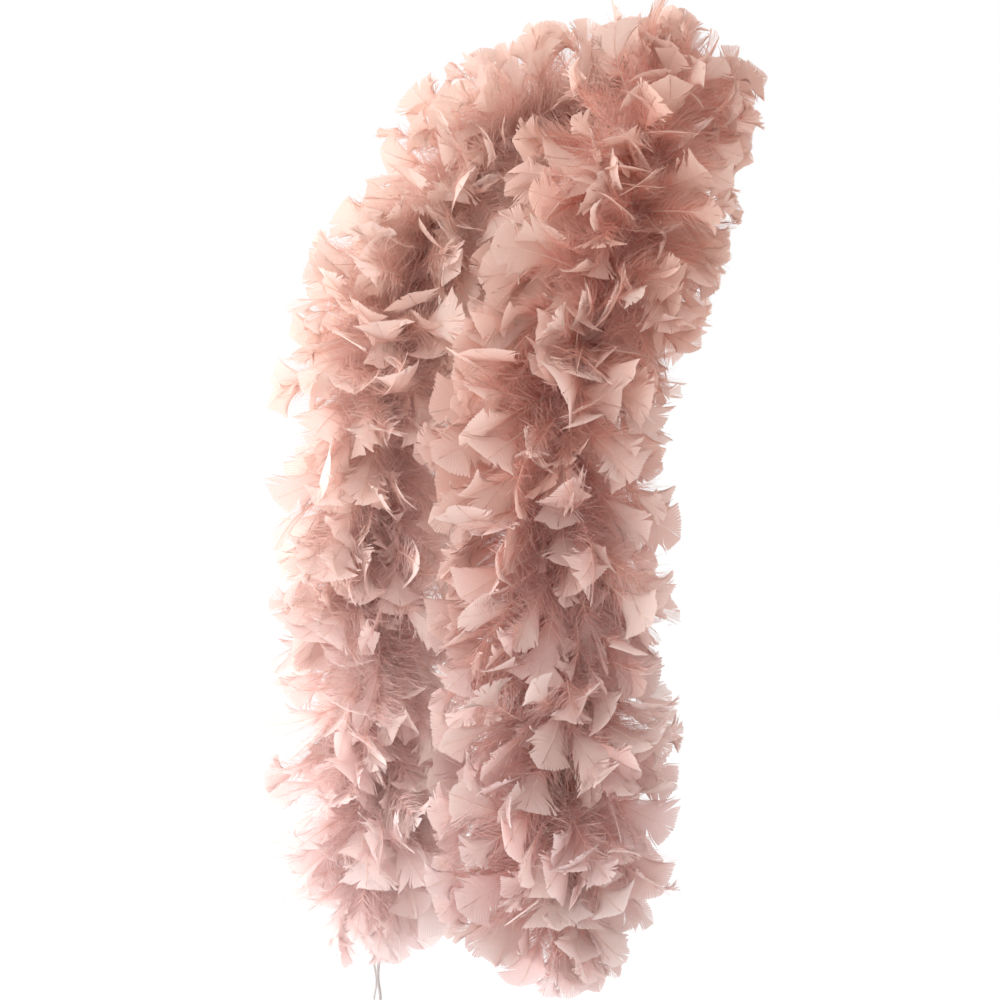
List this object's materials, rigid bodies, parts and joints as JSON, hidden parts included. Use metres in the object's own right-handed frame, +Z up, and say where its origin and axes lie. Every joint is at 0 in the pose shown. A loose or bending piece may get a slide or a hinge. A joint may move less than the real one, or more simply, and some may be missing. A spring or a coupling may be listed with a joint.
{
  "type": "feather boa",
  "caption": "Feather boa draped to sit round a neck: broad blunt feathers and short down bound to a core cord, with two free hanging tails that end in knots.",
  "frame": {"origin": "inner face of the roll at the nape, where the boa rests against the back of the wearer's neck", "axes": "+Z up, the wearer faces -Y and the wearer's left is +X; the two tails hang down along -Z in front"},
  "size_m": [0.4527, 0.4959, 1.0422],
  "materials": {
    "feather_vane": "soft matte dusty salmon turkey feather vanes with a faint sheen",
    "feather_pale": "soft matte pale blush turkey feather vanes",
    "feather_down": "fluffy down, deeper rust salmon where it is shaded",
    "core_cord": "matte three-strand twisted cord dyed to match",
    "binding_thread": "matte binding thread",
    "frayed_cord": "pale undyed frayed cord fibres"
  },
  "bodies": {
    "collar": {"feathers_nape": "feather_vane", "feathers_back_left": "feather_vane", "feathers_shoulder_left": "feather_vane", "feathers_chest_left_1": "feather_vane", "feathers_chest_left_2": "feather_vane", "feathers_chest_left_3": "feather_vane", "feathers_back_right": "feather_vane", "feathers_shoulder_right": "feather_vane", "feathers_chest_right_1": "feather_vane", "feathers_chest_right_2": "feather_vane", "feathers_chest_right_3": "feather_vane", "down_nape": "feather_down", "down_collar_left": "feather_down", "down_collar_right": "feather_down", "core_collar": "core_cord", "bindings_collar": "binding_thread"},
    "tail_left_1": {"feathers_tail_left_1": "feather_vane", "down_tail_left_1": "feather_down", "core_left_1": "core_cord", "bindings_left_1": "binding_thread"},
    "tail_left_2": {"feathers_tail_left_2": "feather_vane", "down_tail_left_2": "feather_down", "core_left_2": "core_cord", "bindings_left_2": "binding_thread"},
    "tail_left_3": {"feathers_tail_left_3": "feather_pale", "down_tail_left_3": "feather_down", "core_left_3": "core_cord", "bindings_left_3": "binding_thread"},
    "tail_left_4": {"feathers_tail_left_4": "feather_pale", "down_tail_left_4": "feather_down", "core_left_4": "core_cord", "bindings_left_4": "binding_thread", "end_whipping_left": "binding_thread", "end_knot_left": "core_cord"},
    "loose_end_left": {"cord_end_left": "frayed_cord"},
    "tail_right_1": {"feathers_tail_right_1": "feather_vane", "down_tail_right_1": "feather_down", "core_right_1": "core_cord", "bindings_right_1": "binding_thread"},
    "tail_right_2": {"feathers_tail_right_2": "feather_vane", "down_tail_right_2": "feather_down", "core_right_2": "core_cord", "bindings_right_2": "binding_thread"},
    "tail_right_3": {"feathers_tail_right_3": "feather_pale", "down_tail_right_3": "feather_down", "core_right_3": "core_cord", "bindings_right_3": "binding_thread"},
    "tail_right_4": {"feathers_tail_right_4": "feather_pale", "down_tail_right_4": "feather_down", "core_right_4": "core_cord", "bindings_right_4": "binding_thread", "end_whipping_right": "binding_thread", "end_knot_right": "core_cord"},
    "loose_end_right": {"cord_end_right": "frayed_cord"}
  },
  "joints": [
    {"name": "left_tail_sway_1", "type": "hinge", "parent": "collar", "child": "tail_left_1", "pos_m": [0.101, -0.23, -0.33], "axis": [-1, 0, 0], "range_deg": [-10, 15]},
    {"name": "left_tail_swing_2", "type": "hinge", "parent": "tail_left_1", "child": "tail_left_2", "pos_m": [0.101, -0.23, -0.44], "axis": [0, -1, 0], "range_deg": [0, 15]},
    {"name": "left_tail_sway_3", "type": "hinge", "parent": "tail_left_2", "child": "tail_left_3", "pos_m": [0.101, -0.23, -0.55], "axis": [-1, 0, 0], "range_deg": [-15, 15]},
    {"name": "left_tail_swing_4", "type": "hinge", "parent": "tail_left_3", "child": "tail_left_4", "pos_m": [0.101, -0.23, -0.66], "axis": [0, -1, 0], "range_deg": [-2, 15]},
    {"name": "left_loose_end_flick", "type": "hinge", "parent": "tail_left_4", "child": "loose_end_left", "pos_m": [0.101, -0.23, -0.7887], "axis": [-1, 0, 0], "range_deg": [-35, 35]},
    {"name": "right_tail_sway_1", "type": "hinge", "parent": "collar", "child": "tail_right_1", "pos_m": [-0.13, -0.23, -0.33], "axis": [-1, 0, 0], "range_deg": [-10, 15]},
    {"name": "right_tail_swing_2", "type": "hinge", "parent": "tail_right_1", "child": "tail_right_2", "pos_m": [-0.13, -0.23, -0.44], "axis": [0, 1, 0], "range_deg": [0, 15]},
    {"name": "right_tail_sway_3", "type": "hinge", "parent": "tail_right_2", "child": "tail_right_3", "pos_m": [-0.13, -0.23, -0.55], "axis": [-1, 0, 0], "range_deg": [-15, 15]},
    {"name": "right_tail_swing_4", "type": "hinge", "parent": "tail_right_3", "child": "tail_right_4", "pos_m": [-0.13, -0.23, -0.66], "axis": [0, 1, 0], "range_deg": [-2, 15]},
    {"name": "right_loose_end_flick", "type": "hinge", "parent": "tail_right_4", "child": "loose_end_right", "pos_m": [-0.13, -0.23, -0.7887], "axis": [-1, 0, 0], "range_deg": [-35, 35]}
  ]
}
